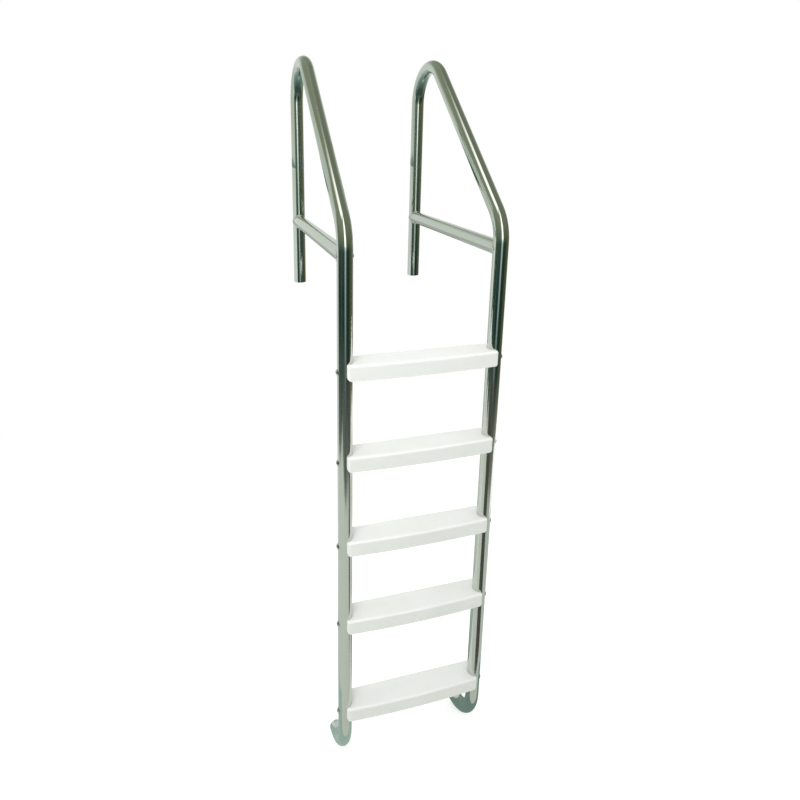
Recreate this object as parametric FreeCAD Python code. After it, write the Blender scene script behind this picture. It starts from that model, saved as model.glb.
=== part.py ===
import FreeCAD, Part
import math
import os

V = FreeCAD.Vector

# Frame: millimetres, +Z up, +Y from the water towards the dock, +X from the left side frame
# to the right one as seen from the water. The origin is the centre of the left post's cut
# lower end, the ring that stands on the bottom of its deck socket.

# Round tube of the side frames and cross braces
tube_od = 48.3
tube_wall = 2.1
rail_spacing = 498.0
frame_depth = 745.0

# Heights above the post's cut end, the corners being where the straight runs would meet
brace_height = 252.0
lower_corner_height = 329.0
upper_corner_height = 1012.0

# Bends of the tube, radii to its centre line
handrail_bend_radius = 134.0
hook_bend_radius = 170.0
hook_turn = 80.0
hook_bottom_below_tread = 296.0

# Treads
tread_count = 5
top_tread_drop = 74.0
tread_pitch = 304.8
bottom_tread_extra = 65.0
tread_height = 50.0
tread_front_depth = 35.0
tread_rear_depth = 50.0
tread_front_bow = 8.0
tread_wall = 4.0
tread_edge_radius = 7.0
tread_corner_radius = 9.0
tread_heel_radius = 13.0
tread_notch_gap = 0.3
tread_end_wall = 14.0
tread_rib_count = 6
tread_rib_thickness = 3.0
tread_rib_recess = 4.0

# Bolts that hold each tread between the rails
bolt_diameter = 8.0
bolt_hole_gap = 0.3
bolt_drop = 30.0
bolt_head_diameter = 20.0
bolt_head_height = 5.0
bolt_head_gap = 0.3
nut_across_flats = 13.0
nut_height = 6.5
nut_bore_gap = 0.05
bolt_tip = 3.0

# Welds round the ends of the cross braces
weld_on_brace = 4.5
weld_on_frame = 3.0
weld_gap_to_frame = 0.2
weld_gap_to_brace = 0.3

tube_radius = tube_od / 2
bore_radius = tube_radius - tube_wall
frames = {"left": 0.0, "right": rail_spacing}
slope = math.atan2(upper_corner_height - lower_corner_height, frame_depth)
up = V(0, 0, 1)


def tread_top(index):
    """Height of a tread's top face, the top tread being number 1."""
    height = -top_tread_drop - (index - 1) * tread_pitch
    return height - bottom_tread_extra if index == tread_count else height


def bolt_height(index):
    return tread_top(index) - bolt_drop


def bend(centre, radius, start, sweep):
    """Arc in a side frame's plane, angles in radians from +Y towards +Z, with its two ends."""
    def at(angle):
        return centre + V(0, radius * math.cos(angle), radius * math.sin(angle))
    edge = Part.Arc(at(start), at(start + sweep / 2), at(start + sweep)).toShape()
    return edge, at(start), at(start + sweep)


def rail_path(x):
    """Centre line of one bent tube, from the post's cut end over the handrail to the hook."""
    top_turn = math.pi / 2 + slope
    top_tangent = handrail_bend_radius * math.tan(top_turn / 2)
    top_centre = V(x, -handrail_bend_radius, upper_corner_height - top_tangent)
    top_bend, top_start, top_end = bend(top_centre, handrail_bend_radius, 0, top_turn)

    low_turn = math.pi / 2 - slope
    low_tangent = handrail_bend_radius * math.tan(low_turn / 2)
    low_centre = V(x, handrail_bend_radius - frame_depth, lower_corner_height - low_tangent)
    low_bend, low_start, low_end = bend(
        low_centre, handrail_bend_radius, math.pi - low_turn, low_turn
    )

    lowest = tread_top(tread_count) - hook_bottom_below_tread
    hook_centre = V(x, hook_bend_radius - frame_depth, lowest + tube_radius + hook_bend_radius)
    hook_bend, hook_start, _ = bend(
        hook_centre, hook_bend_radius, math.pi, math.radians(hook_turn)
    )
    return Part.Wire([
        Part.LineSegment(V(x, 0, 0), top_start).toShape(),
        top_bend,
        Part.LineSegment(top_end, low_start).toShape(),
        low_bend,
        Part.LineSegment(low_end, hook_start).toShape(),
        hook_bend,
    ])


def disc(x, radius):
    """Flat disc across the post's cut end."""
    return Part.Face(Part.Wire(Part.makeCircle(radius, V(x, 0, 0), up)))


def bent_bar(x, radius):
    """The bent tube's path as a solid bar, to cope what meets it."""
    return rail_path(x).makePipe(disc(x, radius))


def side_rail(x):
    """Bent tube with a bolt hole through both walls at each tread."""
    section = disc(x, tube_radius).cut(disc(x, bore_radius)).Faces[0]
    rail = rail_path(x).makePipe(section)
    hole_radius = bolt_diameter / 2 + bolt_hole_gap
    for index in range(1, tread_count + 1):
        start = V(x - tube_od, -frame_depth, bolt_height(index))
        rail = rail.cut(Part.makeCylinder(hole_radius, 2 * tube_od, start, V(1, 0, 0)))
    return rail


def brace_bar(x, radius):
    """Round bar along a cross brace, from the rail's axis to the post's."""
    return Part.makeCylinder(radius, frame_depth, V(x, -frame_depth, brace_height), V(0, 1, 0))


def largest_solid(shape):
    return max(shape.Solids, key=lambda solid: solid.Volume)


def cross_brace(x, coping):
    """Straight tube between rail and post, its ends coped round both."""
    return largest_solid(brace_bar(x, tube_radius).cut(coping).cut(brace_bar(x, bore_radius)))


def weld_bead(x, y, coping):
    """Weld round a brace's end: what lies close to both tubes where they meet."""
    room = 2 * tube_od
    corner = V(x - room / 2, y - room / 2, brace_height - room / 2)
    sleeve = bent_bar(x, tube_radius + weld_on_frame).common(Part.makeBox(room, room, room, corner))
    bead = brace_bar(x, tube_radius + weld_on_brace).common(sleeve).cut(coping)
    return largest_solid(bead.cut(brace_bar(x, tube_radius + weld_gap_to_brace)))


def tread_outline(inset, left, right, top, corner):
    """Plan outline of a tread, bowed forward between its ends, corners rounded."""
    front = -frame_depth - tread_front_depth + inset
    rear = -frame_depth + tread_rear_depth - inset
    middle = (left + right) / 2
    bow = Part.Arc(V(left, front, top), V(middle, front - tread_front_bow, top), V(right, front, top))
    sides = [
        bow.toShape(),
        Part.LineSegment(V(right, front, top), V(right, rear, top)).toShape(),
        Part.LineSegment(V(right, rear, top), V(left, rear, top)).toShape(),
        Part.LineSegment(V(left, rear, top), V(left, front, top)).toShape(),
    ]
    plate = Part.Face(Part.Wire(sides)).extrude(V(0, 0, -tread_height))
    upright = [edge for edge in plate.Edges if edge.BoundBox.ZLength > tread_height / 2]
    return plate.makeFillet(corner, upright)


def heel_profile(left, right, top):
    """Front view of a tread, its lower corners rounded, as a prism through its depth."""
    depth = 2 * (tread_front_depth + tread_rear_depth + tread_front_bow)
    room = tread_height
    block = Part.makeBox(
        right - left, depth, tread_height + room,
        V(left, -frame_depth - depth / 2, top - tread_height)
    )
    low = [
        edge for edge in block.Edges
        if edge.BoundBox.YLength > depth / 2 and edge.BoundBox.ZMax < top - tread_height / 2
    ]
    return block.makeFillet(tread_heel_radius, low)


def tread_blank(top):
    """Outer form of a tread, from one rail's axis to the other's, all its edges rounded."""
    left, right = frames["left"], frames["right"]
    plate = tread_outline(0, left, right, top, tread_corner_radius)
    rim = [
        edge for edge in plate.Edges
        if edge.BoundBox.ZLength < tread_edge_radius and edge.BoundBox.ZMin > top - tread_height / 2
    ]
    return plate.makeFillet(tread_edge_radius, rim).common(heel_profile(left, right, top))


def tread(index):
    """Moulded step: a shell open below, ribbed, with end walls notched round the rails."""
    top = tread_top(index)
    blank = tread_blank(top)
    end_wall = tube_radius + tread_notch_gap + tread_end_wall
    inner_left = end_wall
    inner_right = rail_spacing - end_wall
    ceiling = top - tread_wall
    cavity = tread_outline(tread_wall, inner_left, inner_right, ceiling, tread_wall)
    body = blank.cut(cavity)
    front = -frame_depth - tread_front_depth - tread_front_bow
    rear = -frame_depth + tread_rear_depth - tread_wall / 2
    rib_height = tread_height - tread_wall / 2 - tread_rib_recess
    gap = (inner_right - inner_left) / (tread_rib_count + 1)
    for number in range(1, tread_rib_count + 1):
        corner = V(
            inner_left + number * gap - tread_rib_thickness / 2,
            front,
            ceiling + tread_wall / 2 - rib_height,
        )
        rib = Part.makeBox(tread_rib_thickness, rear - front, rib_height, corner)
        body = body.fuse(rib.common(blank))
    for x in frames.values():
        notch_foot = V(x, -frame_depth, top - 1.5 * tread_height)
        body = body.cut(Part.makeCylinder(tube_radius + tread_notch_gap, 2 * tread_height, notch_foot))
        hole_start = V(x - 1.5 * end_wall, -frame_depth, bolt_height(index))
        hole_radius = bolt_diameter / 2 + bolt_hole_gap
        body = body.cut(Part.makeCylinder(hole_radius, 3 * end_wall, hole_start, V(1, 0, 0)))
    return body.removeSplitter()


def bolt(x, outward, index):
    """Domed bolt through a rail into a tread's end wall, its head saddled on the round tube."""
    centre = V(x, -frame_depth, bolt_height(index))
    out = V(outward, 0, 0)
    seat = tube_radius + bolt_head_gap
    nut_end = tube_radius + tread_notch_gap + tread_end_wall + nut_height + bolt_tip
    shank = Part.makeCylinder(bolt_diameter / 2, nut_end + seat, centre - out * nut_end, out)
    radius = bolt_head_diameter / 2
    ball = (radius ** 2 + bolt_head_height ** 2) / (2 * bolt_head_height)
    dome = Part.makeSphere(ball, centre + out * (seat + bolt_head_height - ball))
    collar = Part.makeCylinder(radius, seat + bolt_head_height, centre, out)
    tube = Part.makeCylinder(seat, tread_height, centre - up * tread_height / 2)
    head = dome.common(collar).cut(tube)
    return shank.fuse(largest_solid(head)).removeSplitter()


def nut(x, outward, index):
    """Hexagon nut against the inner side of a tread's end wall."""
    out = V(outward, 0, 0)
    face = tube_radius + tread_notch_gap + tread_end_wall
    start = V(x, -frame_depth, bolt_height(index)) - out * (face + nut_height)
    corner = nut_across_flats / math.sqrt(3)
    turns = [math.radians(60 * k) for k in range(7)]
    rim = [start + V(0, corner * math.cos(turn), corner * math.sin(turn)) for turn in turns]
    body = Part.Face(Part.makePolygon(rim)).extrude(out * nut_height)
    bore = Part.makeCylinder(bolt_diameter / 2 + nut_bore_gap, 2 * nut_height, start - out, out)
    return body.cut(bore)


def save(name, shape):
    shape.exportStep("parts/%s.step" % name)


def build():
    os.makedirs("parts", exist_ok=True)
    for side, x in frames.items():
        outward = -1 if side == "left" else 1
        coping = bent_bar(x, tube_radius + weld_gap_to_frame)
        save("%s_rail" % side, side_rail(x))
        save("%s_cross_brace" % side, cross_brace(x, coping))
        save("%s_rail_weld" % side, weld_bead(x, -frame_depth, coping))
        save("%s_post_weld" % side, weld_bead(x, 0, coping))
        for index in range(1, tread_count + 1):
            save("%s_bolt_%d" % (side, index), bolt(x, outward, index))
            save("%s_nut_%d" % (side, index), nut(x, outward, index))
    for index in range(1, tread_count + 1):
        save("tread_%d" % index, tread(index))


build()
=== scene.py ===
"""Dock ladder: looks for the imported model, laid out as a Blender add-on and run as a script."""
import math

import bmesh
import bpy
from bpy.props import FloatProperty, FloatVectorProperty, PointerProperty
from bpy.types import Operator, Panel, PropertyGroup
from mathutils import Matrix, Vector


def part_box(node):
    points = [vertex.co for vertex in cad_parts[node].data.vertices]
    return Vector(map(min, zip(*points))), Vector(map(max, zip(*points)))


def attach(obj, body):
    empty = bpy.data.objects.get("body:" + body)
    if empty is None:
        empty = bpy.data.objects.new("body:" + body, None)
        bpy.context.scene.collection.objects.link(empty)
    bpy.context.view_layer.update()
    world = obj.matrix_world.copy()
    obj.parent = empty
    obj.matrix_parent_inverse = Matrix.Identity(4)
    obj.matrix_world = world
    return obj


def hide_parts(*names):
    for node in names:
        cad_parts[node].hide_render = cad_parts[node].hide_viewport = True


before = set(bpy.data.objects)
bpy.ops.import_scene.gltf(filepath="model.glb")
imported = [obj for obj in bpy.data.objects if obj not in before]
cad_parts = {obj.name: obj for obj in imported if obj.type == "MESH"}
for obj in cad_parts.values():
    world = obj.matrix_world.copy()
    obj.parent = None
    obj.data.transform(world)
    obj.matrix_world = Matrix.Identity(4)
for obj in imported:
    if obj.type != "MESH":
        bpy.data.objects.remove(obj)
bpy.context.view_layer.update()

bl_info = {
    "name": "Dock Ladder",
    "version": (1, 0, 0),
    "blender": (4, 5, 0),
    "location": "View3D > Sidebar > Ladder",
    "description": "Finishes, weld beads and studio for a bent-tube dock ladder",
    "category": "Object",
}

SIDES = ("left", "right")
TREADS = range(1, 6)
FLOOR_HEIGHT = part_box("left_rail")[0].z

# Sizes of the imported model, in metres
TUBE_RADIUS = 0.02415
SIDE_X = {"left": 0.0, "right": 0.498}
POST_AXIS_Y = 0.0
RAIL_AXIS_Y = -0.745
BRACE_HEIGHT = 0.252
BEND_RADIUS = 0.134
BEND_START = 0.27
LOWER_CORNER_HEIGHT = 0.329
UPPER_CORNER_HEIGHT = 1.012
HOOK_RADIUS = 0.17
LOWEST_POINT = -1.6542

# Straight runs and bends of the side tubes, seen from the side: slope of the handrail, and the centres
# (y, z) of its upper and lower bend and of the foot's hook
HANDRAIL_SLOPE = math.atan2(UPPER_CORNER_HEIGHT - LOWER_CORNER_HEIGHT, POST_AXIS_Y - RAIL_AXIS_Y)
TOP_BEND_TANGENT = BEND_RADIUS * math.tan((math.pi / 2 + HANDRAIL_SLOPE) / 2)
LOW_BEND_TANGENT = BEND_RADIUS * math.tan((math.pi / 2 - HANDRAIL_SLOPE) / 2)
TOP_BEND_CENTRE = (POST_AXIS_Y - BEND_RADIUS, UPPER_CORNER_HEIGHT - TOP_BEND_TANGENT)
LOW_BEND_CENTRE = (RAIL_AXIS_Y + BEND_RADIUS, LOWER_CORNER_HEIGHT - LOW_BEND_TANGENT)
HOOK_CENTRE = (RAIL_AXIS_Y + HOOK_RADIUS, LOWEST_POINT + TUBE_RADIUS + HOOK_RADIUS)

# Room that the polished steel mirrors: a few plain tones, darkest just above the ground and lighter
# overhead. Bearings are in degrees from straight in front of the ladder, to the right of someone who
# looks out from it.
GROUND = (0.22, 0.23, 0.2)
DUSK = (0.01, 0.04, 0.03)
WALL = (0.12, 0.17, 0.11)
CEILING = (0.24, 0.28, 0.19)
OLIVE = (0.1, 0.11, 0.055)
SHEEN = (0.42, 0.52, 0.5)
WINDOW = (2.0, 2.0, 1.95)
PANEL = (0.045, 0.09, 0.085)
BEHIND = (0.73, 0.79, 0.73)
SKYLIGHT = (1.7, 1.7, 1.65)
GROUND_RISE = -0.55
CEILING_RISE = 0.5
WINDOW_BEARING = -7.0
PANEL_BEARING = -62.0
PANEL_SPACING = 55.0


def colour_property(name, description, default):
    return FloatVectorProperty(
        name=name, description=description, subtype="COLOR", size=3, min=0.0, max=1.0, default=default
    )


def share_property(name, description, default):
    return FloatProperty(
        name=name, description=description, subtype="FACTOR", min=0.0, max=1.0, default=default
    )


class LadderTubeFinish(PropertyGroup):
    """Finish of the bent side tubes and their cross braces."""
    colour: colour_property("Steel colour", "Reflection colour of the polished tube", (0.66, 0.68, 0.64))
    roughness: share_property("Roughness", "Blur of the tube's reflections", 0.1)
    streak_depth: FloatProperty(
        name="Polishing lines", description="Height of the lengthwise polishing lines",
        subtype="DISTANCE", unit="LENGTH", min=0.0, max=0.001, default=0.000006, precision=6,
    )
    streak_count: FloatProperty(
        name="Line count", description="Polishing lines across the width of the tube",
        min=1.0, max=400.0, default=90.0,
    )


class LadderWeldFinish(PropertyGroup):
    """Size and finish of the weld beads round the ends of the cross braces."""
    radius: FloatProperty(
        name="Bead radius", description="Radius of the bead's section",
        subtype="DISTANCE", unit="LENGTH", min=0.001, max=0.006, default=0.0036, precision=4,
    )
    ripple: FloatProperty(
        name="Ripple spacing", description="Distance between the bead's ripples",
        subtype="DISTANCE", unit="LENGTH", min=0.001, max=0.01, default=0.0034, precision=4,
    )
    colour: colour_property("Weld colour", "Reflection colour of the cleaned weld", (0.72, 0.72, 0.7))


class LadderBoltFinish(PropertyGroup):
    """Finish of the bolts and nuts that hold the treads."""
    colour: colour_property("Bolt colour", "Reflection colour of the bolts and nuts", (0.64, 0.65, 0.63))
    roughness: share_property("Roughness", "Blur of the bolts' reflections", 0.24)
    thread_pitch: FloatProperty(
        name="Thread pitch", description="Distance between the turns of the bolt's thread",
        subtype="DISTANCE", unit="LENGTH", min=0.0005, max=0.003, default=0.00125, precision=5,
    )


class LadderTreadFinish(PropertyGroup):
    """Finish of the moulded treads."""
    colour: colour_property("Plastic colour", "Colour of the moulded plastic", (0.845, 0.845, 0.815))
    roughness: share_property("Roughness", "Blur of the plastic's reflections", 0.42)
    grain_size: FloatProperty(
        name="Grain size", description="Size of the non-slip grain on the tread's top",
        subtype="DISTANCE", unit="LENGTH", min=0.0005, max=0.01, default=0.0022, precision=4,
    )
    grain_depth: FloatProperty(
        name="Grain depth", description="Height of the non-slip grain",
        subtype="DISTANCE", unit="LENGTH", min=0.0, max=0.002, default=0.00018, precision=5,
    )


class LadderStage(PropertyGroup):
    """Floor, studio light and camera."""
    floor_colour: colour_property("Floor colour", "Colour of the plain floor", (0.59, 0.63, 0.565))
    key_power: FloatProperty(
        name="Key lamp", description="Power of the large lamp above the water side", unit="POWER",
        min=0.0, max=5000.0, default=55.0,
    )
    fill_power: FloatProperty(
        name="Fill lamp", description="Power of the lamp at the left", unit="POWER",
        min=0.0, max=5000.0, default=15.0,
    )
    ambient: FloatProperty(
        name="Ambient", description="Strength of the even light", min=0.0, max=3.0, default=0.8
    )
    lens: FloatProperty(
        name="Lens", description="Focal length on a 36 mm sensor", unit="CAMERA",
        min=10.0, max=300.0, default=26.945,
    )
    camera_place: FloatVectorProperty(
        name="Camera place", description="Where the camera stands", subtype="TRANSLATION", unit="LENGTH",
        size=3, default=(-0.42179, -2.38607, 0.59601),
    )
    camera_turn: FloatVectorProperty(
        name="Camera turn", description="Turn to the right, dip and lean of the camera", subtype="EULER",
        unit="ROTATION", size=3,
        default=(math.radians(15.367), math.radians(14.235), math.radians(0.212)),
    )
    camera_shift: FloatVectorProperty(
        name="Camera shift", description="Offset of the frame across and up, as a share of its width",
        size=2, default=(0.0568, -0.1435),
    )


class LadderSettings(PropertyGroup):
    """All sizes and colours of the ladder's looks."""
    tube: PointerProperty(type=LadderTubeFinish)
    weld: PointerProperty(type=LadderWeldFinish)
    bolt: PointerProperty(type=LadderBoltFinish)
    tread: PointerProperty(type=LadderTreadFinish)
    stage: PointerProperty(type=LadderStage)


def settings():
    """The ladder's sizes and colours in this scene."""
    return bpy.context.scene.ladder


# Shader helpers

class Wiring:
    """Short calls for adding nodes to one tree and joining them."""

    def __init__(self, tree):
        self.tree = tree

    def add(self, kind, **values):
        node = self.tree.nodes.new(kind)
        for key, value in values.items():
            setattr(node, key, value)
        return node

    def feed(self, socket, value):
        if isinstance(value, bpy.types.NodeSocket):
            self.tree.links.new(value, socket)
        else:
            socket.default_value = value

    def maths(self, operation, first, second=0.0, third=0.0, clamp=False):
        node = self.add("ShaderNodeMath", operation=operation, use_clamp=clamp)
        for socket, value in zip(node.inputs, (first, second, third)):
            self.feed(socket, value)
        return node.outputs[0]

    def plus(self, first, second):
        return self.maths("ADD", first, second)

    def minus(self, first, second):
        return self.maths("SUBTRACT", first, second)

    def times(self, first, second):
        return self.maths("MULTIPLY", first, second)

    def noise(self, vector, scale, detail=2.0, roughness=0.5, dimensions="3D"):
        node = self.add("ShaderNodeTexNoise", noise_dimensions=dimensions)
        self.feed(node.inputs["W" if dimensions == "1D" else "Vector"], vector)
        self.feed(node.inputs["Scale"], scale)
        node.inputs["Detail"].default_value = detail
        node.inputs["Roughness"].default_value = roughness
        return node.outputs[0]

    def spread(self, value, low, high, first=0.0, second=1.0):
        """Value that runs from first to second as the given value runs from low to high."""
        node = self.add("ShaderNodeMapRange")
        for name, number in (
            ("Value", value), ("From Min", low), ("From Max", high), ("To Min", first), ("To Max", second)
        ):
            self.feed(node.inputs[name], number)
        return node.outputs[0]

    def mix(self, factor, first, second):
        node = self.add("ShaderNodeMix", data_type="RGBA")
        self.feed(node.inputs[0], factor)
        self.feed(node.inputs[6], first)
        self.feed(node.inputs[7], second)
        return node.outputs[2]

    def bump(self, height, distance, strength=1.0, normal=None):
        node = self.add("ShaderNodeBump")
        self.feed(node.inputs["Height"], height)
        node.inputs["Distance"].default_value = distance
        node.inputs["Strength"].default_value = strength
        if normal is not None:
            self.feed(node.inputs["Normal"], normal)
        return node.outputs[0]

    def split(self, vector):
        node = self.add("ShaderNodeSeparateXYZ")
        self.feed(node.inputs[0], vector)
        return node.outputs[0], node.outputs[1], node.outputs[2]

    def join(self, x, y, z):
        node = self.add("ShaderNodeCombineXYZ")
        for socket, value in zip(node.inputs, (x, y, z)):
            self.feed(socket, value)
        return node.outputs[0]

    def vectors(self, operation, first, second=None, output="Vector"):
        node = self.add("ShaderNodeVectorMath", operation=operation)
        self.feed(node.inputs[0], first)
        if second is not None:
            self.feed(node.inputs["Scale" if operation == "SCALE" else 1], second)
        return node.outputs[output]

    def choose(self, test, if_true, if_false):
        """One of two vectors, by a test that is 1 or 0."""
        return self.mix(test, if_false, if_true)

    def place(self):
        """Place on the piece, in metres."""
        return self.add("ShaderNodeTexCoord").outputs["Object"]

    def blend(self, factor, first, second):
        """One of two shaders, or a share of each."""
        node = self.add("ShaderNodeMixShader")
        for socket, value in zip(node.inputs, (factor, first, second)):
            self.feed(socket, value)
        return node.outputs[0]

    def group(self, tree, **values):
        node = self.add("ShaderNodeGroup", node_tree=tree)
        for key, value in values.items():
            self.feed(node.inputs[key.replace("_", " ")], value)
        return node


def new_group(name, inputs, outputs):
    """Shader node group with sockets given as (label, type, default), and what is needed to fill it."""
    tree = bpy.data.node_groups.new(name, "ShaderNodeTree")
    for direction, sockets in (("INPUT", inputs), ("OUTPUT", outputs)):
        for label, socket_type, default in sockets:
            made = tree.interface.new_socket(name=label, in_out=direction, socket_type=socket_type)
            if default is not None:
                made.default_value = default
    wiring = Wiring(tree)
    return tree, wiring, wiring.add("NodeGroupInput"), wiring.add("NodeGroupOutput")


def facing_group():
    """Way that a bent side tube's round wall faces, free of its mesh's facets."""
    name = "Bent Tube Facing"
    if name in bpy.data.node_groups:
        return bpy.data.node_groups[name]
    tree, w, start, end = new_group(
        name,
        [("Frame Spacing", "NodeSocketFloat", SIDE_X["right"])],
        [("Normal", "NodeSocketVector", None)],
    )
    x, y, z = w.split(w.place())
    spacing = start.outputs["Frame Spacing"]
    second = w.maths("GREATER_THAN", x, w.times(spacing, 0.5))
    across = w.minus(x, w.times(second, spacing))
    rise, run = math.sin(HANDRAIL_SLOPE), math.cos(HANDRAIL_SLOPE)

    def above(value, limit):
        return w.maths("GREATER_THAN", value, limit)

    def below(value, limit):
        return w.maths("LESS_THAN", value, limit)

    def up_slope(centre):
        """Distance up the handrail's slope from a bend's centre."""
        return w.plus(w.times(w.minus(y, centre[0]), run), w.times(w.minus(z, centre[1]), rise))

    def from_bend(centre, radius):
        """Way from the bent centre line to the wall."""
        arm = w.join(0.0, w.minus(y, centre[0]), w.minus(z, centre[1]))
        reach = w.vectors("LENGTH", arm, output="Value")
        share = w.minus(1.0, w.maths("DIVIDE", radius, reach))
        return w.vectors("ADD", w.join(across, 0.0, 0.0), w.vectors("SCALE", arm, share))

    def from_upright(line_y):
        """Way from an upright centre line to the wall."""
        return w.join(across, w.minus(y, line_y), 0.0)

    lift = w.minus(w.times(w.minus(z, LOWER_CORNER_HEIGHT), run), w.times(w.minus(y, RAIL_AXIS_Y), rise))
    slope = w.join(across, w.times(lift, -rise), w.times(lift, run))
    in_top_bend = above(up_slope(TOP_BEND_CENTRE), 0.0)
    handrail = w.choose(in_top_bend, from_bend(TOP_BEND_CENTRE, BEND_RADIUS), slope)
    in_low_bend = below(up_slope(LOW_BEND_CENTRE), 0.0)
    handrail = w.choose(in_low_bend, from_bend(LOW_BEND_CENTRE, BEND_RADIUS), handrail)
    in_hook = below(z, HOOK_CENTRE[1])
    leg = w.choose(in_hook, from_bend(HOOK_CENTRE, HOOK_RADIUS), from_upright(RAIL_AXIS_Y))
    front = w.choose(below(z, LOW_BEND_CENTRE[1]), leg, handrail)
    near_post = POST_AXIS_Y - 2.5 * TUBE_RADIUS
    at_post = w.times(above(y, near_post), below(z, TOP_BEND_CENTRE[1]))
    outward = w.vectors("NORMALIZE", w.choose(at_post, from_upright(POST_AXIS_Y), front))
    meshed = w.add("ShaderNodeNewGeometry").outputs["True Normal"]
    agreement = w.vectors("DOT_PRODUCT", outward, meshed, output="Value")
    turned = w.vectors("SCALE", outward, w.maths("SIGN", agreement))
    on_wall = above(w.maths("ABSOLUTE", agreement), 0.7)
    w.feed(end.inputs["Normal"], w.choose(on_wall, turned, meshed))
    return tree


def polishing_group():
    """Lines that follow a round tube lengthwise, from the way its surface faces."""
    name = "Polishing Lines"
    if name in bpy.data.node_groups:
        return bpy.data.node_groups[name]
    tree, w, start, end = new_group(
        name,
        [
            ("Facing", "NodeSocketVector", None), ("Count", "NodeSocketFloat", 90.0),
            ("Drift", "NodeSocketFloat", 3.0),
        ],
        [("Height", "NodeSocketFloat", None), ("Tone", "NodeSocketFloat", None)],
    )
    sideways, forward, upward = w.split(start.outputs["Facing"])
    side = w.maths("SIGN", w.minus(upward, forward))
    across = w.plus(sideways, w.times(side, 2.7))
    wander = w.noise(w.place(), start.outputs["Drift"], 1.0)
    lane = w.plus(across, w.times(wander, 0.035))
    coarse = w.noise(lane, start.outputs["Count"], 3.0, 0.65, "1D")
    fine = w.noise(lane, w.times(start.outputs["Count"], 4.3), 2.0, 0.6, "1D")
    both = w.plus(w.times(coarse, 0.6), w.times(fine, 0.4))
    w.feed(end.inputs["Height"], both)
    w.feed(end.inputs["Tone"], w.spread(both, 0.35, 0.65))
    return tree


def handling_group():
    """Faint smears and dried drops from hands and water."""
    name = "Handling Marks"
    if name in bpy.data.node_groups:
        return bpy.data.node_groups[name]
    tree, w, start, end = new_group(
        name,
        [("Smear Size", "NodeSocketFloat", 9.0), ("Drop Size", "NodeSocketFloat", 70.0)],
        [("Smears", "NodeSocketFloat", None), ("Drops", "NodeSocketFloat", None)],
    )
    place = w.place()
    cloud = w.noise(place, start.outputs["Smear Size"], 4.0, 0.6)
    w.feed(end.inputs["Smears"], w.spread(cloud, 0.45, 0.72))
    cells = w.add("ShaderNodeTexVoronoi", feature="F1")
    w.feed(cells.inputs["Vector"], place)
    w.feed(cells.inputs["Scale"], start.outputs["Drop Size"])
    ring = w.maths("ABSOLUTE", w.minus(cells.outputs["Distance"], 0.2))
    thin = w.spread(ring, 0.05, 0.0)
    few = w.spread(w.noise(place, 14.0, 1.0), 0.55, 0.66)
    w.feed(end.inputs["Drops"], w.times(thin, few))
    return tree


def new_material(name):
    """Material with an empty Principled shader, and the Wiring to fill it."""
    material = bpy.data.materials.new(name)
    material.use_nodes = True
    material.node_tree.nodes.clear()
    w = Wiring(material.node_tree)
    shader = w.add("ShaderNodeBsdfPrincipled")
    out = w.add("ShaderNodeOutputMaterial")
    w.feed(out.inputs["Surface"], shader.outputs[0])
    return material, w, shader


def dimmed(colour, factor):
    """Colour made lighter or darker."""
    return tuple(channel * factor for channel in colour)


def tinted(colour, factor):
    """Colour made lighter or darker, with its alpha."""
    return dimmed(colour, factor) + (1.0,)


def tube_material(name, bent):
    """Polished steel for the bent side tubes, or for the straight cross braces."""
    finish = settings().tube
    material, w, shader = new_material(name)
    if bent:
        facing = w.group(facing_group()).outputs["Normal"]
    else:
        facing = w.add("ShaderNodeTexCoord").outputs["Normal"]
    lines = w.group(polishing_group(), Facing=facing, Count=finish.streak_count)
    marks = w.group(handling_group())
    smears, drops = marks.outputs["Smears"], marks.outputs["Drops"]
    shader.inputs["Metallic"].default_value = 1.0
    tone = w.mix(lines.outputs["Tone"], tinted(finish.colour, 0.95), tinted(finish.colour, 1.03))
    dulled = w.mix(w.times(smears, 0.25), tone, tinted(finish.colour, 0.86))
    w.feed(shader.inputs["Base Color"], dulled)
    blur = w.spread(lines.outputs["Tone"], 0.0, 1.0, finish.roughness * 0.85, finish.roughness * 1.2)
    blur = w.plus(blur, w.times(smears, 0.05))
    w.feed(shader.inputs["Roughness"], w.plus(blur, w.times(drops, 0.1)))
    w.feed(shader.inputs["Normal"], w.bump(lines.outputs["Height"], finish.streak_depth, normal=facing))
    return material


def weld_material():
    """Brushed-off weld with a faint straw tint and fine pits."""
    finish = settings().weld
    pit_scale, pit_depth = 900.0, 0.00006
    material, w, shader = new_material("cleaned_weld")
    marks = w.group(handling_group(), Smear_Size=120.0, Drop_Size=400.0)
    pits = w.noise(w.place(), pit_scale, 3.0, 0.6)
    shader.inputs["Metallic"].default_value = 1.0
    straw = (finish.colour[0] * 0.86, finish.colour[1] * 0.78, finish.colour[2] * 0.6, 1.0)
    tint = w.mix(w.times(marks.outputs["Smears"], 0.5), tinted(finish.colour, 1.0), straw)
    w.feed(shader.inputs["Base Color"], tint)
    w.feed(shader.inputs["Roughness"], w.spread(pits, 0.3, 0.7, 0.2, 0.36))
    w.feed(shader.inputs["Normal"], w.bump(pits, pit_depth))
    return material


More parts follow.
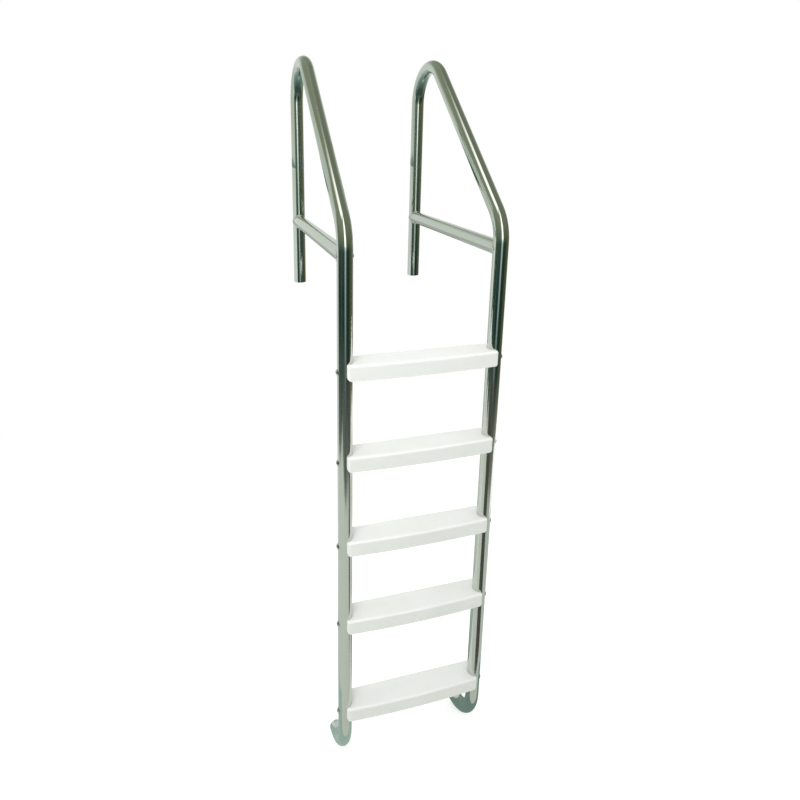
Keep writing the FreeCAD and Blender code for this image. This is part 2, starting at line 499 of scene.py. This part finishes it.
def bolt_material():
    """Satin steel with a thread on the bolts' round shanks, which run along X."""
    finish = settings().bolt
    grit_scale, grit_share, thread_depth = 1400.0, 0.12, 0.0003
    material, w, shader = new_material("satin_bolt_steel")
    marks = w.group(handling_group(), Smear_Size=90.0, Drop_Size=300.0)
    place = w.place()
    along, _, _ = w.split(place)
    endways, forward, upward = w.split(w.add("ShaderNodeTexCoord").outputs["Normal"])
    shader.inputs["Metallic"].default_value = 1.0
    turn = w.maths("ARCTAN2", upward, forward)
    phase = w.plus(w.times(along, math.tau / finish.thread_pitch), turn)
    shank = w.spread(w.maths("ABSOLUTE", endways), 0.02, 0.0)
    wave = w.times(w.maths("SINE", phase), shank)
    grit = w.noise(place, grit_scale, 2.0)
    height = w.plus(wave, w.times(grit, grit_share))
    tint = w.mix(marks.outputs["Smears"], tinted(finish.colour, 1.0), tinted(finish.colour, 0.8))
    w.feed(shader.inputs["Base Color"], tint)
    blur = w.spread(grit, 0.3, 0.7, finish.roughness * 0.8, finish.roughness * 1.3)
    w.feed(shader.inputs["Roughness"], blur)
    w.feed(shader.inputs["Normal"], w.bump(height, thread_depth))
    return material


def tread_material():
    """Moulded plastic with a non-slip grain on the level top face."""
    finish = settings().tread
    skin_scale, skin_share = 1800.0, 0.16
    sink_scale, sink_share = 22.0, 1.2
    material, w, shader = new_material("moulded_white_plastic")
    marks = w.group(handling_group(), Smear_Size=16.0, Drop_Size=60.0)
    place = w.place()
    _, _, upward = w.split(w.add("ShaderNodeTexCoord").outputs["Normal"])
    on_top = w.spread(upward, 0.9, 0.99)
    pebbles = w.add("ShaderNodeTexVoronoi", feature="SMOOTH_F1")
    w.feed(pebbles.inputs["Vector"], place)
    pebbles.inputs["Scale"].default_value = 1.0 / finish.grain_size
    distance = pebbles.outputs["Distance"]
    pebble = w.times(w.spread(distance, 0.55, 0.1), on_top)
    skin = w.noise(place, skin_scale, 3.0, 0.6)
    sink = w.noise(place, sink_scale, 1.0)
    height = w.plus(w.plus(pebble, w.times(skin, skin_share)), w.times(sink, sink_share))
    flow = w.spread(w.noise(place, 5.0, 3.0, 0.55), 0.35, 0.7)
    base = w.mix(flow, tinted(finish.colour, 1.0), tinted(finish.colour, 0.965))
    grime = (finish.colour[0] * 0.8, finish.colour[1] * 0.79, finish.colour[2] * 0.74, 1.0)
    grimed = w.mix(w.times(marks.outputs["Smears"], 0.1), base, grime)
    # Painted shade: the hollows of the top's grain are darkened a little with a dimmer copy of the plastic's
    # colour.
    hollow_shade = w.times(w.minus(1.0, w.spread(distance, 0.5, 0.1)), on_top)
    tint = w.mix(w.times(hollow_shade, 0.08), grimed, tinted(finish.colour, 0.75))
    w.feed(shader.inputs["Base Color"], tint)
    blur = w.spread(skin, 0.3, 0.7, finish.roughness * 0.92, finish.roughness * 1.1)
    w.feed(shader.inputs["Roughness"], w.maths("ADD", blur, w.times(on_top, 0.12), clamp=True))
    w.feed(shader.inputs["Normal"], w.bump(height, finish.grain_depth))
    shader.inputs["IOR"].default_value = 1.49
    shader.inputs["Subsurface Weight"].default_value = 0.08
    shader.inputs["Subsurface Radius"].default_value = (0.004, 0.004, 0.0035)
    shader.inputs["Subsurface Scale"].default_value = 1.0
    return material


def dress(node, material):
    """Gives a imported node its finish, in every material slot that it has."""
    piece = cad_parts[node]
    if not piece.material_slots:
        piece.data.materials.append(material)
    for slot in piece.material_slots:
        slot.material = material


# Weld beads: cross-sections round a joint, and points round each

BEAD_STEPS = 260
BEAD_POINTS = 14


def rail_centre(point, side_x):
    """Nearest point of the rail's centre line, near the cross brace's end."""
    low_centre = Vector((side_x, BEND_RADIUS + RAIL_AXIS_Y, BEND_START))
    if point.z <= BEND_START:
        return Vector((side_x, RAIL_AXIS_Y, point.z))
    arm = Vector((0.0, point.y - low_centre.y, point.z - low_centre.z))
    return low_centre + arm.normalized() * BEND_RADIUS


def post_centre(point, side_x):
    """Nearest point of the post's centre line."""
    return Vector((side_x, POST_AXIS_Y, point.z))


def joint_point(side_x, turn, centre_of, near, far):
    """Where a line along the cross brace's skin enters the tube that it meets."""
    across = side_x + TUBE_RADIUS * math.sin(turn)
    height = BRACE_HEIGHT + TUBE_RADIUS * math.cos(turn)
    inside, outside = near, far
    for _ in range(48):
        middle = (inside + outside) / 2
        point = Vector((across, middle, height))
        if (point - centre_of(point, side_x)).length < TUBE_RADIUS:
            inside = middle
        else:
            outside = middle
    return Vector((across, (inside + outside) / 2, height))


def bead_row(point, ahead, out, turn, travelled, side_x):
    """Points of one cross-section of a weld bead, flattened, and lagging where it bulges outward."""
    sizes = settings().weld
    width, thickness, sink = 1.08, 0.72, 0.18
    sideways = ahead.cross(out)
    wave = 0.5 + 0.5 * math.cos(math.tau * travelled / sizes.ripple)
    swell = 1.0 + 0.07 * math.sin(5.0 * turn + side_x * 9.0) + 0.04 * math.sin(13.0 * turn)
    reach = sizes.radius * swell * (0.9 + 0.13 * wave ** 2)
    centre = point + out * sizes.radius * sink
    row = []
    for n in range(BEAD_POINTS):
        angle = math.tau * n / BEAD_POINTS
        lag = 0.25 * sizes.ripple * math.cos(angle)
        spot = centre + reach * (width * sideways * math.sin(angle) + thickness * out * math.cos(angle))
        row.append(spot + ahead * lag)
    return row


def weld_bead(name, side_x, centre_of, near, far):
    """Rippled bead that lies in the corner between a cross brace and the tube that it meets."""
    turns = [math.tau * k / BEAD_STEPS for k in range(BEAD_STEPS)]
    line = [joint_point(side_x, turn, centre_of, near, far) for turn in turns]
    mesh = bmesh.new()
    rows = []
    travelled = 0.0
    for k, (turn, point) in enumerate(zip(turns, line)):
        travelled += (point - line[k - 1]).length if k else 0.0
        brace_out = Vector((math.sin(turn), 0.0, math.cos(turn)))
        tube_out = (point - centre_of(point, side_x)).normalized()
        ahead = (line[(k + 1) % BEAD_STEPS] - line[k - 1]).normalized()
        out = brace_out + tube_out
        if out.length < 0.2:
            out = brace_out
        out = (out - ahead * out.dot(ahead)).normalized()
        rows.append([mesh.verts.new(spot) for spot in bead_row(point, ahead, out, turn, travelled, side_x)])
    for k, one in enumerate(rows):
        two = rows[(k + 1) % BEAD_STEPS]
        for n in range(BEAD_POINTS):
            after = (n + 1) % BEAD_POINTS
            mesh.faces.new((one[n], one[after], two[after], two[n])).smooth = True
    bmesh.ops.recalc_face_normals(mesh, faces=mesh.faces)
    data = bpy.data.meshes.new(name)
    mesh.to_mesh(data)
    mesh.free()
    bead = bpy.data.objects.new(name, data)
    bpy.context.scene.collection.objects.link(bead)
    return bead


class LADDER_OT_tubes(Operator):
    """Finish the bent side tubes and cross braces in polished stainless steel"""
    bl_idname = "ladder.tubes"
    bl_label = "Finish tubes"

    def execute(self, context):
        bent = tube_material("polished_bent_tube", True)
        straight = tube_material("polished_cross_brace", False)
        for side in SIDES:
            dress(side + "_rail", bent)
            dress(side + "_cross_brace", straight)
        return {"FINISHED"}


class LADDER_OT_welds(Operator):
    """Lay a rippled weld bead round both ends of each cross brace"""
    bl_idname = "ladder.welds"
    bl_label = "Lay weld beads"

    def execute(self, context):
        metal = weld_material()
        half_way = (RAIL_AXIS_Y + POST_AXIS_Y) / 2
        for side in SIDES:
            ends = (("rail", rail_centre, RAIL_AXIS_Y), ("post", post_centre, POST_AXIS_Y))
            for end, centre_of, near in ends:
                bead = weld_bead("%s_%s_weld_bead" % (side, end), SIDE_X[side], centre_of, near, half_way)
                bead.data.materials.append(metal)
                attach(bead, "root")
                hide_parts("%s_%s_weld" % (side, end))
        return {"FINISHED"}


class LADDER_OT_bolts(Operator):
    """Finish the bolts and nuts that hold the treads"""
    bl_idname = "ladder.bolts"
    bl_label = "Finish bolts and nuts"

    def execute(self, context):
        metal = bolt_material()
        for side in SIDES:
            for number in TREADS:
                dress("%s_bolt_%d" % (side, number), metal)
                dress("%s_nut_%d" % (side, number), metal)
        return {"FINISHED"}


class LADDER_OT_treads(Operator):
    """Finish the moulded treads in white plastic with a non-slip top"""
    bl_idname = "ladder.treads"
    bl_label = "Finish treads"

    def execute(self, context):
        plastic = tread_material()
        for number in TREADS:
            dress("tread_%d" % number, plastic)
        return {"FINISHED"}


# Stage

def toned(w, position, tones):
    """Colour that runs through (position, colour) pairs, lowest position first."""
    shade = tuple(tones[0][1]) + (1.0,)
    for (low, _), (high, colour) in zip(tones, tones[1:]):
        shade = w.mix(w.spread(position, low, high), shade, tuple(colour) + (1.0,))
    return shade


def card(name, corners, colours, mask=None):
    """Flat reflection card that only shiny surfaces see. colours are (height, colour) pairs, lowest first.

    Where mask, a function that adds its nodes to the card's, gives less than 1, the card is clear.
    """
    data = bpy.data.meshes.new(name)
    data.from_pydata([Vector(corner) for corner in corners], [], [tuple(range(len(corners)))])
    piece = bpy.data.objects.new(name, data)
    bpy.context.scene.collection.objects.link(piece)
    material = bpy.data.materials.new(name)
    material.use_nodes = True
    material.node_tree.nodes.clear()
    w = Wiring(material.node_tree)
    glow = w.add("ShaderNodeEmission")
    _, _, height = w.split(w.place())
    w.feed(glow.inputs["Color"], toned(w, height, colours))
    surface = glow.outputs[0]
    if mask:
        surface = w.blend(mask(w), w.add("ShaderNodeBsdfTransparent").outputs[0], surface)
    w.feed(w.add("ShaderNodeOutputMaterial").inputs["Surface"], surface)
    data.materials.append(material)
    piece.visible_camera = False
    piece.visible_diffuse = False
    piece.visible_shadow = False
    piece.visible_transmission = False
    piece.visible_volume_scatter = False
    return piece


def upright_card(name, first, second, low, high, colours):
    """Upright card between two (x, y) points."""
    (x0, y0), (x1, y1) = first, second
    return card(name, [(x0, y0, low), (x1, y1, low), (x1, y1, high), (x0, y0, high)], colours)


def level_card(name, first, second, height, colour):
    """Level card between two (x, y) corners."""
    (x0, y0), (x1, y1) = first, second
    corners = [(x0, y0, height), (x1, y0, height), (x1, y1, height), (x0, y1, height)]
    return card(name, corners, [(0.0, colour)])


def bend_shade_mask(w):
    """Mask for the card of painted shade under the bends: seen from above, fading at the posts and at the
    card's rim.
    """
    x, y, _ = w.split(w.place())
    half = SIDE_X["right"] / 2
    aside = w.maths("ABSOLUTE", w.minus(x, half))
    reach = w.vectors("LENGTH", w.join(w.minus(aside, half), y, 0.0), output="Value")
    clear_of_posts = w.spread(reach, 0.03, 0.09)
    from_middle = w.maths("ABSOLUTE", w.plus(y, 0.1))
    rim = w.times(w.spread(aside, 0.85, 0.65), w.spread(from_middle, 0.5, 0.35))
    above = w.minus(1.0, w.add("ShaderNodeNewGeometry").outputs["Backfacing"])
    return w.times(w.times(rim, clear_of_posts), above)


def set_cards():
    """Cards beside and under the ladder, placed where the steel's reflections call for them. The cards round
    the hooks and under the bends are painted shade, and the card on the floor at the right is painted light.
    """
    foot = FLOOR_HEIGHT + 0.002
    screen_tones = [(0.1, (0.8, 0.87, 0.82)), (0.7, (0.58, 0.66, 0.57))]
    upright_card("card_left_screen", (-0.62, -0.38), (-0.62, 1.2), foot, 1.2, screen_tones)
    # Dark upright card in front of the right rail, seen only in the steel, which mirrors it as a dark band.
    dark_corners = [(0.42, -1.05, foot), (0.8, -1.05, foot), (0.46, -1.05, -0.3), (0.2, -1.05, -0.3)]
    card("card_dark_upright", dark_corners, [(0.0, (0.09, 0.088, 0.075))])
    # Painted light: a card brighter than white, lying on the floor at the right, which the steel mirrors as
    # a brightly lit patch of floor.
    level_card("card_lit_floor_right", (1.9, -1.2), (2.8, 1.5), foot, (1.3, 1.3, 1.25))
    # Painted shadow: cards darker than the floor round the hooks, which the steel mirrors as the floor in
    # the ladder's shade; the one under the right hook is darker still.
    level_card("card_shadow_under_left_hook", (-0.35, -0.84), (0.25, -0.05), foot, (0.43, 0.55, 0.5))
    level_card("card_shadow_under_right_hook", (0.25, -0.84), (0.85, -0.05), foot, (0.2, 0.29, 0.26))
    # Painted shade: a dark tilted card under the bends, seen from above only, which the upper bends mirror
    # as a darker floor below them.
    tilted = [(-0.6, -0.6, 0.42), (1.1, -0.6, 0.42), (1.1, 0.4, 0.49), (-0.6, 0.4, 0.49)]
    bend_shade_tones = [(0.445, (0.05, 0.09, 0.07)), (0.475, (0.28, 0.4, 0.37))]
    card("card_shade_under_bends", tilted, bend_shade_tones, bend_shade_mask)


def soft_lamp(name, place, aim, size, power):
    """Large area lamp that the steel doesn't mirror."""
    data = bpy.data.lights.new(name, "AREA")
    data.shape = "RECTANGLE"
    data.size, data.size_y = size
    data.energy = power
    lamp = bpy.data.objects.new(name, data)
    bpy.context.scene.collection.objects.link(lamp)
    lamp.location = place
    lamp.rotation_euler = (Vector(aim) - Vector(place)).to_track_quat("-Z", "Y").to_euler()
    lamp.visible_glossy = False
    return lamp


def room_side(w, rise, tones, heights):
    """One side of the room, from its ground, dusk, wall and ceiling tones.

    heights are the rises of the direction of sight at which dusk starts and ends and the wall is reached.
    """
    ground, dusk, wall, ceiling = tones
    dusk_start, dusk_end, wall_height = heights
    return toned(w, rise, [
        (GROUND_RISE, ground), (dusk_start, dusk), (dusk_end, dusk), (wall_height, wall),
        (CEILING_RISE, ceiling),
    ])


def studio_room(w):
    """Dim workshop round the studio, as polished steel mirrors it, by the direction of sight."""
    across, back, rise = w.split(w.add("ShaderNodeTexCoord").outputs["Generated"])
    bearing = w.maths("ARCTAN2", across, w.times(back, -1.0))
    bearing = w.times(bearing, math.degrees(1.0))
    front = room_side(w, rise, (GROUND, DUSK, WALL, CEILING), (-0.31, -0.25, 0.0))
    panels = w.maths("COSINE", w.times(w.minus(bearing, PANEL_BEARING), math.tau / PANEL_SPACING))
    panels = w.times(w.spread(panels, 0.0, 1.0), w.spread(rise, -0.1, -0.2))
    front = w.mix(w.times(panels, w.spread(bearing, 0.0, -20.0)), front, tinted(PANEL, 1.0))
    shadow_tones = (GROUND, DUSK, dimmed(WALL, 0.8), dimmed(CEILING, 0.75))
    shadow = room_side(w, rise, shadow_tones, (-0.37, -0.2, 0.08))
    front = w.mix(w.spread(bearing, -2.0, 10.0), front, shadow)
    right_tones = (dimmed(GROUND, 2.0), OLIVE, dimmed(OLIVE, 1.45), dimmed(CEILING, 0.8))
    right = room_side(w, rise, right_tones, (-0.38, -0.22, 0.0))
    shade = w.mix(w.spread(bearing, 40.0, 75.0), front, right)
    behind = w.maths("MAXIMUM", w.spread(bearing, -105.0, -150.0), w.spread(bearing, 110.0, 150.0))
    low = w.spread(rise, 0.3, 0.65, 1.0, 0.12)
    shade = w.mix(w.times(behind, low), shade, tinted(BEHIND, 1.0))
    aside = w.maths("ABSOLUTE", w.minus(bearing, WINDOW_BEARING))
    window = w.times(w.spread(aside, 14.0, 7.0), w.spread(rise, 0.93, 0.88))
    glare = toned(w, rise, [
        (-0.43, dimmed(SHEEN, 0.25)), (-0.2, SHEEN), (-0.05, dimmed(SHEEN, 2.1)), (0.05, WINDOW),
    ])
    shade = w.mix(window, shade, glare)
    width = w.times(w.spread(across, -0.48, -0.34), w.spread(across, 0.08, -0.03))
    length = w.times(w.spread(back, 0.07, -0.03), w.spread(back, -0.5, -0.3))
    skylight = w.times(w.times(width, length), w.spread(rise, 0.3, 0.5))
    return w.mix(skylight, shade, tinted(SKYLIGHT, 1.0))


def studio_world(ambient):
    """White for the camera, the dim room for shiny surfaces, and even light for all else."""
    world = bpy.data.worlds.new("studio_white")
    world.use_nodes = True
    world.node_tree.nodes.clear()
    w = Wiring(world.node_tree)
    path = w.add("ShaderNodeLightPath")
    seen = w.maths("MAXIMUM", path.outputs["Is Camera Ray"], path.outputs["Is Glossy Ray"])
    seen = w.maths("MAXIMUM", seen, path.outputs["Is Transmission Ray"])
    even = w.add("ShaderNodeBackground")
    even.inputs["Color"].default_value = (0.97, 0.985, 1.0, 1.0)
    even.inputs["Strength"].default_value = ambient
    shown = w.add("ShaderNodeBackground")
    w.feed(shown.inputs["Color"], w.mix(path.outputs["Is Glossy Ray"], (1.0, 1.0, 1.0, 1.0), studio_room(w)))
    surface = w.blend(seen, even.outputs[0], shown.outputs[0])
    w.feed(w.add("ShaderNodeOutputWorld").inputs["Surface"], surface)
    bpy.context.scene.world = world


def sheet_mask(w):
    """1 on the pale sheet under the ladder, 0 on the dim floor beyond it."""
    across, back, _ = w.split(w.place())
    left = w.spread(across, -2.3, -2.1)
    right = w.spread(across, 2.9, 2.7)
    near = w.spread(back, -2.5, -2.3)
    corner = w.spread(w.minus(across, back), 3.8, 3.2)
    return w.times(w.times(left, right), w.times(near, corner))


def floor_material(colour):
    """Plain floor that the camera sees as white; shiny surfaces see it only as far as its sheet."""
    material, w, shader = new_material("plain_floor")
    shader.inputs["Base Color"].default_value = tuple(colour) + (1.0,)
    shader.inputs["Roughness"].default_value = 0.9
    shader.inputs["Specular IOR Level"].default_value = 0.1
    path = w.add("ShaderNodeLightPath")
    far = w.spread(w.vectors("LENGTH", w.place(), output="Value"), 2.0, 3.4)
    lift = w.add("ShaderNodeEmission")
    w.feed(lift.inputs["Strength"], w.spread(far, 0.0, 1.0, 0.6, 1.0))
    dark = w.add("ShaderNodeEmission")
    dark.inputs["Strength"].default_value = 0.0
    lifted = w.add("ShaderNodeAddShader")
    w.feed(lifted.inputs[0], w.blend(far, shader.outputs[0], dark.outputs[0]))
    w.feed(lifted.inputs[1], lift.outputs[0])
    shown = w.blend(path.outputs["Is Camera Ray"], shader.outputs[0], lifted.outputs[0])
    beyond = w.times(path.outputs["Is Glossy Ray"], w.minus(1.0, sheet_mask(w)))
    surface = w.blend(beyond, shown, w.add("ShaderNodeBsdfTransparent").outputs[0])
    out = next(node for node in material.node_tree.nodes if node.type == "OUTPUT_MATERIAL")
    w.feed(out.inputs["Surface"], surface)
    return material


def lay_floor(colour, reach=14.0):
    """Level floor that the ladder's hooks just touch."""
    data = bpy.data.meshes.new("floor")
    corners = [(-reach, -reach), (reach, -reach), (reach, reach), (-reach, reach)]
    data.from_pydata([(x, y, FLOOR_HEIGHT) for x, y in corners], [], [(0, 1, 2, 3)])
    floor = bpy.data.objects.new("floor", data)
    bpy.context.scene.collection.objects.link(floor)
    data.materials.append(floor_material(colour))
    return floor


def camera_object(stage):
    """Camera at the photo's angle, from its place and its turn, dip and lean."""
    data = bpy.data.cameras.new("camera")
    data.sensor_width = 36.0
    data.lens = stage.lens
    data.shift_x, data.shift_y = stage.camera_shift
    data.clip_end = 100.0
    camera = bpy.data.objects.new("camera", data)
    bpy.context.scene.collection.objects.link(camera)
    turn, dip, lean = stage.camera_turn
    ahead = Vector((math.sin(turn) * math.cos(dip), math.cos(turn) * math.cos(dip), -math.sin(dip)))
    right = Vector((math.cos(turn), -math.sin(turn), 0.0))
    above = right.cross(ahead)
    across = right * math.cos(lean) + above * math.sin(lean)
    upright = above * math.cos(lean) - right * math.sin(lean)
    camera.matrix_world = Matrix.LocRotScale(
        Vector(stage.camera_place), Matrix((across, upright, -ahead)).transposed(), None
    )
    bpy.context.scene.camera = camera
    return camera


class LADDER_OT_stage(Operator):
    """Set up the floor, the studio light and the camera"""
    bl_idname = "ladder.stage"
    bl_label = "Set up studio"

    def execute(self, context):
        stage = settings().stage
        lay_floor(stage.floor_colour)
        set_cards()
        soft_lamp("key_lamp", (-0.9, -2.3, 2.0), (0.2, -0.7, -0.4), (1.6, 1.2), stage.key_power)
        soft_lamp("fill_lamp", (-2.8, -0.8, 0.9), (0.2, -0.6, -0.5), (1.0, 1.6), stage.fill_power)
        studio_world(stage.ambient)
        context.scene.view_settings.view_transform = "Standard"
        camera_object(stage)
        return {"FINISHED"}


class LADDER_PT_panel(Panel):
    """Ladder tools in the 3D view's sidebar"""
    bl_idname = "LADDER_PT_panel"
    bl_label = "Dock Ladder"
    bl_space_type = "VIEW_3D"
    bl_region_type = "UI"
    bl_category = "Ladder"

    def draw(self, context):
        groups = (
            ("tube", LADDER_OT_tubes), ("weld", LADDER_OT_welds), ("bolt", LADDER_OT_bolts),
            ("tread", LADDER_OT_treads), ("stage", LADDER_OT_stage),
        )
        for name, operator in groups:
            box = self.layout.box()
            values = getattr(context.scene.ladder, name)
            for key in values.__annotations__:
                box.prop(values, key)
            box.operator(operator.bl_idname)


CLASSES = (
    LadderTubeFinish, LadderWeldFinish, LadderBoltFinish, LadderTreadFinish, LadderStage, LadderSettings,
    LADDER_OT_tubes, LADDER_OT_welds, LADDER_OT_bolts, LADDER_OT_treads, LADDER_OT_stage, LADDER_PT_panel,
)


def register():
    for entry in CLASSES:
        bpy.utils.register_class(entry)
    bpy.types.Scene.ladder = PointerProperty(type=LadderSettings)


def unregister():
    del bpy.types.Scene.ladder
    for entry in reversed(CLASSES):
        bpy.utils.unregister_class(entry)


def main():
    register()
    bpy.ops.ladder.tubes()
    bpy.ops.ladder.welds()
    bpy.ops.ladder.bolts()
    bpy.ops.ladder.treads()
    bpy.ops.ladder.stage()


if __name__ == "__main__":
    main()
